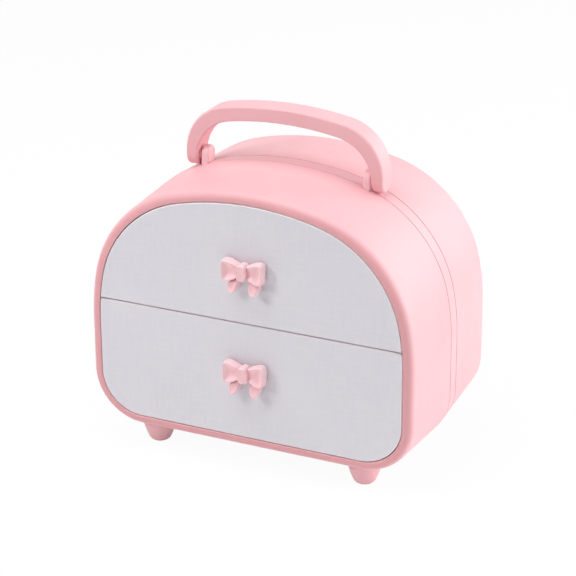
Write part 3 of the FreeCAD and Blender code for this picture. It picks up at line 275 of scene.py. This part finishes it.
def zincMetal(look):
    material, tree, output = newMaterial(look["name"])
    place = addNode(tree, "ShaderNodeTexCoord").outputs["Object"]
    lengthwise = stretched(tree, place, (1, look["scratchLength"], 1))
    scratches = noise(tree, lengthwise, look["scratchScale"], look["scratchDetail"])
    color = tintBetween(tree, ramp(tree, scratches, 0, 1), toLinear(look["color"]), toLinear(look["tint"]))
    roughness = ramp(tree, scratches, *look["roughness"])
    normal = bump(tree, scratches, look["scratchStrength"], look["scratchDepth"])
    finishSurface(tree, output, color, roughness, normal, metallic=1)
    return material


finishes = {
    "pink": mouldedPlastic(pinkPlastic),
    "shell": mouldedPlastic(shellPlastic),
    "bow": mouldedPlastic(bowPaintedLightAndShadePlastic),
    "ear": mouldedPlastic(earPaintedLightPlastic),
    "inner": mouldedPlastic(innerPlastic),
    "front": linenPlastic(linenFront),
    "screw": zincMetal(screwMetal),
}
finishOf = {
    "front_shell": "shell", "rear_shell": "shell",
    "upper_drawer_front": "front", "lower_drawer_front": "front",
    "upper_drawer_tray": "inner", "lower_drawer_tray": "inner", "divider_shelf": "inner",
    "upper_bow_knob": "bow", "lower_bow_knob": "bow",
    "left_handle_bracket": "ear", "right_handle_bracket": "ear",
    "shell_screws": "screw", "foot_screws": "screw", "upper_knob_screw": "screw", "lower_knob_screw": "screw",
}
for name, item in nodes.items():
    for slot in item.material_slots:
        slot.material = finishes[finishOf.get(name, "pink")]
print("materials assigned")


def newObject(name, shape):
    mesh = bpy.data.meshes.new(name)
    shape.to_mesh(mesh)
    shape.free()
    item = bpy.data.objects.new(name, mesh)
    bpy.context.scene.collection.objects.link(item)
    return item


def newPiece(name, shape, finish):
    # a smooth closed piece in one finish
    bmesh.ops.recalc_face_normals(shape, faces=shape.faces)
    item = newObject(name, shape)
    item.data.shade_smooth()
    item.data.materials.append(finishes[finish])
    return item


def wrap(shape, rows, tip=None):
    # closes rows of corners: a flat at the back, and a point or a flat in front
    count = len(rows[0])
    shape.faces.new(rows[0][::-1])
    for low, high in zip(rows, rows[1:]):
        for k in range(count):
            after = (k + 1) % count
            shape.faces.new((low[k], low[after], high[after], high[k]))
    if tip is None:
        shape.faces.new(rows[-1])
        return
    for k in range(count):
        shape.faces.new((rows[-1][k], rows[-1][(k + 1) % count], tip))


# a thin dished face on each drawer front, whose outer edge comes level with the rim, in mm
frontFace = {
    "base": 0.03,                  # over the flat of the front
    "lift": 0.62,                  # of the outer edge above that
    "dishReach": 9.0,
    "dishPower": 1.5,
    "shortestSide": 0.3,           # of the polygon round the outline
    "longestSide": 3.0,
    # how far in from the outline, and how far under the dish
    "rings": [(0.22, -1.6), (0.22, -0.45), (0.34, -0.20), (0.56, -0.05), (0.85, 0), (1.4, 0), (2.4, 0),
              (3.8, 0), (6.0, 0), (9.0, 0)],
}


def outlineOf(names, look):
    # the edge of some nodes as seen from the front
    places = [nodes[name].matrix_world @ corner.co for name in names for corner in nodes[name].data.vertices]
    flat = [Vector((place.x, place.z)) for place in places]
    hull = [flat[k] for k in geometry.convex_hull_2d(flat)]
    # points that all but coincide would fold the faces between them
    shortest = look["shortestSide"] * mm
    return [point for k, point in enumerate(hull) if (point - hull[k - 1]).length > shortest]


def sides(outline):
    return list(zip(outline, outline[1:] + outline[:1]))


def shortSides(outline, longest):
    path = []
    for start, end in sides(outline):
        count = max(1, math.ceil((end - start).length / longest))
        path += [start.lerp(end, k / count) for k in range(count)]
    return path


def clamped(share):
    return min(max(share, 0), 1)


def distanceTo(outline, point):
    distances = []
    for start, end in sides(outline):
        side = end - start
        share = clamped((point - start).dot(side) / side.length_squared)
        distances.append((point - start - side * share).length)
    return min(distances)


def makeFrontFace(name, node, body, mouth, look):
    low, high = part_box(node)
    middle = Vector(((low[0] + high[0]) / 2, (low[2] + high[2]) / 2))
    half = Vector(((high[0] - low[0]) / 2, (high[2] - low[2]) / 2))
    outline = shortSides(outlineOf([node], look), look["longestSide"] * mm)
    shape = bmesh.new()
    rows = []
    for inset, under in look["rings"]:
        row = []
        for corner in outline:
            x = middle.x + (corner.x - middle.x) * (1 - inset * mm / half.x)
            z = middle.y + (corner.y - middle.y) * (1 - inset * mm / half.y)
            dish = clamped(1 - distanceTo(mouth, Vector((x, z))) / (look["dishReach"] * mm))
            rise = look["base"] + look["lift"] * dish ** look["dishPower"] + under
            row.append(shape.verts.new((x, low[1] - rise * mm, z)))
        rows.append(row)
    wrap(shape, rows)
    item = newPiece(name, shape, "front")
    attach(item, body)


mouth = outlineOf(["upper_drawer_front", "lower_drawer_front"], frontFace)
makeFrontFace("upperFrontFace", "upper_drawer_front", "upper_drawer", mouth, frontFace)
makeFrontFace("lowerFrontFace", "lower_drawer_front", "lower_drawer", mouth, frontFace)
print("drawer faces made")

# bow knobs: loops, knot and tails as closed shells, in mm from the middle of the knot at the front's face
bow = {
    "loop": [(1.5, 3.4), (4.2, 4.6), (7.4, 6.0), (10.8, 6.6), (12.5, 5.7), (12.7, 2.4), (12.6, -1.6),
             (12.5, -4.8), (11.6, -6.5), (8.8, -6.3), (6.0, -5.1), (3.8, -4.1), (1.5, -3.1), (1.0, 0.0)],
    "loopCentre": (7.8, 0.0),
    "loopEnd": 12.7,
    "loopFront": (8.0, 7.2),       # how far the loop stands out at the knot and at its end
    "creaseDepth": 2.6,            # how deep the loop dips beside the knot, and how far from the middle
    "creaseReach": (2.9, 5.6),
    # rings: scale of the outline, depth, and 1 where the depth is counted from the face
    "loopRings": [(0.90, 0.25, 0), (1.0, 1.2, 0), (1.0, -1.3, 1), (0.975, -0.35, 1), (0.91, 0.0, 1),
                  (0.80, -0.3, 1), (0.58, -1.35, 1), (0.30, -2.1, 1)],
    "loopTip": (-2.3, 1),
    "knotHalf": (2.9, 4.9),
    "knotPower": 3.2,
    "knotTurn": 0.5,               # starts half a side round, so that a side faces up
    "knotRings": [(0.9, 0.3, 0), (1.0, 1.0, 0), (1.0, 7.4, 0), (0.96, 8.3, 0), (0.86, 8.6, 0), (0.6, 8.3, 0)],
    "knotTip": (8.1, 0),
    "tail": [(2.8, -4.6), (5.6, -6.0), (9.2, -7.4), (9.6, -9.0), (8.6, -12.2), (6.9, -13.4), (5.0, -12.6),
             (3.4, -8.6)],
    "tailCentre": (6.3, -9.2),
    "tailTop": -5.0,
    "tailLength": 8.0,
    "tailFront": (5.0, 8.0),       # how far the tail stands out at its top and at its tip
    "tailRings": [(1.0, 0.3, 0), (1.12, 1.0, 0), (1.10, -2.6, 1), (1.0, -1.0, 1), (0.93, -0.25, 1),
                  (0.80, 0.0, 1), (0.45, -0.35, 1)],
    "tailTip": (-0.5, 1),
    "bossHalf": (2.9, 2.9),        # plug behind the knot, which takes the screw
    "bossRings": [(1, -3.3, 0), (1, 0.6, 0)],
    "bossTip": (0.6, 0),
    "ovalPoints": 16,              # of the knot and the boss
    "height": 13.4,                # of the knot's middle over the tips of the tails
    "smoothing": 2,
}


def between(pair, share):
    return pair[0] + (pair[1] - pair[0]) * clamped(share)


def ringShell(shape, outline, centre, rings, tip, side=1, face=None):
    # closed shell of shrinking rings, from its back to a point in the middle of its face
    def corner(x, z, scale, depth, onFace):
        across = centre[0] + (x - centre[0]) * scale
        up = centre[1] + (z - centre[1]) * scale
        if onFace:
            depth += face(across, up)
        return shape.verts.new((side * across * mm, -depth * mm, up * mm))

    rows = [[corner(x, z, *ring) for x, z in outline] for ring in rings]
    wrap(shape, rows, corner(*centre, 0, *tip))


def oval(half, count, power=2.0, turn=0.0):
    points = []
    for k in range(count):
        angle = 2 * math.pi * (k + turn) / count
        across, up = math.cos(angle), math.sin(angle)
        points.append((half[0] * math.copysign(abs(across) ** (2 / power), across),
                       half[1] * math.copysign(abs(up) ** (2 / power), up)))
    return points


def makeBow(name, node, body, look):
    shape = bmesh.new()

    def loopFace(x, z):
        start, stop = look["creaseReach"]
        crease = look["creaseDepth"] * (1 - clamped((x - start) / (stop - start))) ** 2
        return between(look["loopFront"], x / look["loopEnd"]) - crease

    def tailFace(x, z):
        return between(look["tailFront"], (look["tailTop"] - z) / look["tailLength"])

    for side in (1, -1):
        ringShell(shape, look["loop"], look["loopCentre"], look["loopRings"], look["loopTip"], side, loopFace)
        ringShell(shape, look["tail"], look["tailCentre"], look["tailRings"], look["tailTip"], side, tailFace)
    knot = oval(look["knotHalf"], look["ovalPoints"], look["knotPower"], look["knotTurn"])
    ringShell(shape, knot, (0, 0), look["knotRings"], look["knotTip"])
    boss = oval(look["bossHalf"], look["ovalPoints"])
    ringShell(shape, boss, (0, 0), look["bossRings"], look["bossTip"])
    item = newPiece(name, shape, "bow")
    low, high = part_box(node)
    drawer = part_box(node.replace("bow_knob", "drawer_front"))
    item.location = ((low[0] + high[0]) / 2, drawer[0][1], low[2] + look["height"] * mm)
    smooth = item.modifiers.new("smoothing", "SUBSURF")
    smooth.levels = look["smoothing"]
    smooth.render_levels = look["smoothing"]
    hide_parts(node)
    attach(item, body)


makeBow("upperBow", "upper_bow_knob", "upper_drawer", bow)
makeBow("lowerBow", "lower_bow_knob", "lower_drawer", bow)
print("bows made")

# floor, world and lights
studio = {
    "floorReach": 6.0,
    "floorParts": 8,
    "floorColor": (0.96, 0.96, 0.96, 1),
    "floorWhite": 0.95,            # share of plain white that the camera sees in the floor
    "worldStrength": 0.12,
    "lamps": [
        # name, place, aimed at, size, watts
        ("sideLamp", (1.45, 0.05, 0.62), (0.0, 0.0, 0.09), 0.9, 9.7),
        ("topLamp", (-0.30, -0.30, 1.55), (0.0, 0.0, 0.10), 1.6, 18.6),
        ("frontLamp", (-0.56, -0.66, 0.64), (0.0, 0.0, 0.08), 0.30, 3.0),
        ("backLamp", (1.10, 1.10, 0.60), (0.0, 0.0, 0.08), 1.4, 14.3),
    ],
}
white = (1, 1, 1, 1)


def seenDirectly(tree):
    # 1 for camera, glossy and transmission rays, so that reflections show the same white
    path = addNode(tree, "ShaderNodeLightPath")
    total = path.outputs["Is Camera Ray"]
    for name in ("Is Glossy Ray", "Is Transmission Ray"):
        total = calculate(tree, "MAXIMUM", total, path.outputs[name])
    return total


def makeFloor(look):
    shape = bmesh.new()
    parts = look["floorParts"]
    bmesh.ops.create_grid(shape, x_segments=parts, y_segments=parts, size=look["floorReach"])
    floor = newObject("studioFloor", shape)
    material, tree, output = newMaterial("studioFloorPaint")
    paint = addNode(tree, "ShaderNodeBsdfDiffuse")
    paint.inputs["Color"].default_value = look["floorColor"]
    glow = addNode(tree, "ShaderNodeEmission")
    glow.inputs["Color"].default_value = white
    both = addNode(tree, "ShaderNodeMixShader")
    plug(tree, both.inputs["Fac"], calculate(tree, "MULTIPLY", seenDirectly(tree), look["floorWhite"]))
    tree.links.new(paint.outputs[0], both.inputs[1])
    tree.links.new(glow.outputs[0], both.inputs[2])
    tree.links.new(both.outputs[0], output.inputs["Surface"])
    floor.data.materials.append(material)


def makeWorld(look):
    world = bpy.data.worlds.new("studioWorld")
    bpy.context.scene.world = world
    world.use_nodes = True
    tree = world.node_tree
    tree.nodes.clear()
    background = addNode(tree, "ShaderNodeBackground")
    background.inputs["Color"].default_value = white
    strength = ramp(tree, seenDirectly(tree), look["worldStrength"], 1, 0, 1)
    tree.links.new(strength, background.inputs["Strength"])
    output = addNode(tree, "ShaderNodeOutputWorld")
    tree.links.new(background.outputs[0], output.inputs["Surface"])


def makeLamps(look):
    for name, place, aim, size, watts in look["lamps"]:
        lamp = bpy.data.lights.new(name, "AREA")
        lamp.shape = "DISK"
        lamp.size = size
        lamp.energy = watts
        item = bpy.data.objects.new(name, lamp)
        bpy.context.scene.collection.objects.link(item)
        item.location = place
        item.rotation_euler = (Vector(aim) - Vector(place)).to_track_quat("-Z", "Y").to_euler()


makeFloor(studio)
makeWorld(studio)
makeLamps(studio)
print("studio ready")

# lengths in mm, roll in degrees
cameraLook = {
    "target": (-2.962, 7.0, 89.673),
    "place": (518.77, -1088.82, 600.50),
    "roll": -0.295,
    "lens": 142.316,
    "sensorWidth": 36,
    "clip": (50, 30000),
}


def makeCamera(look):
    data = bpy.data.cameras.new("productCamera")
    data.lens = look["lens"]
    data.sensor_width = look["sensorWidth"]
    data.clip_start, data.clip_end = (length * mm for length in look["clip"])
    item = bpy.data.objects.new("productCamera", data)
    bpy.context.scene.collection.objects.link(item)
    place = Vector(look["place"]) * mm
    back = (place - Vector(look["target"]) * mm).normalized()
    right = (-back).cross(Vector((0, 0, 1))).normalized()
    up = right.cross(-back)
    turn = math.radians(look["roll"])
    rolledRight = right * math.cos(turn) + up * math.sin(turn)
    rolledUp = up * math.cos(turn) - right * math.sin(turn)
    axes = Matrix((rolledRight, rolledUp, back)).transposed()
    item.matrix_world = Matrix.Translation(place) @ axes.to_4x4()
    bpy.context.scene.camera = item


makeCamera(cameraLook)
bpy.context.scene.view_settings.view_transform = "Standard"
print("camera ready")
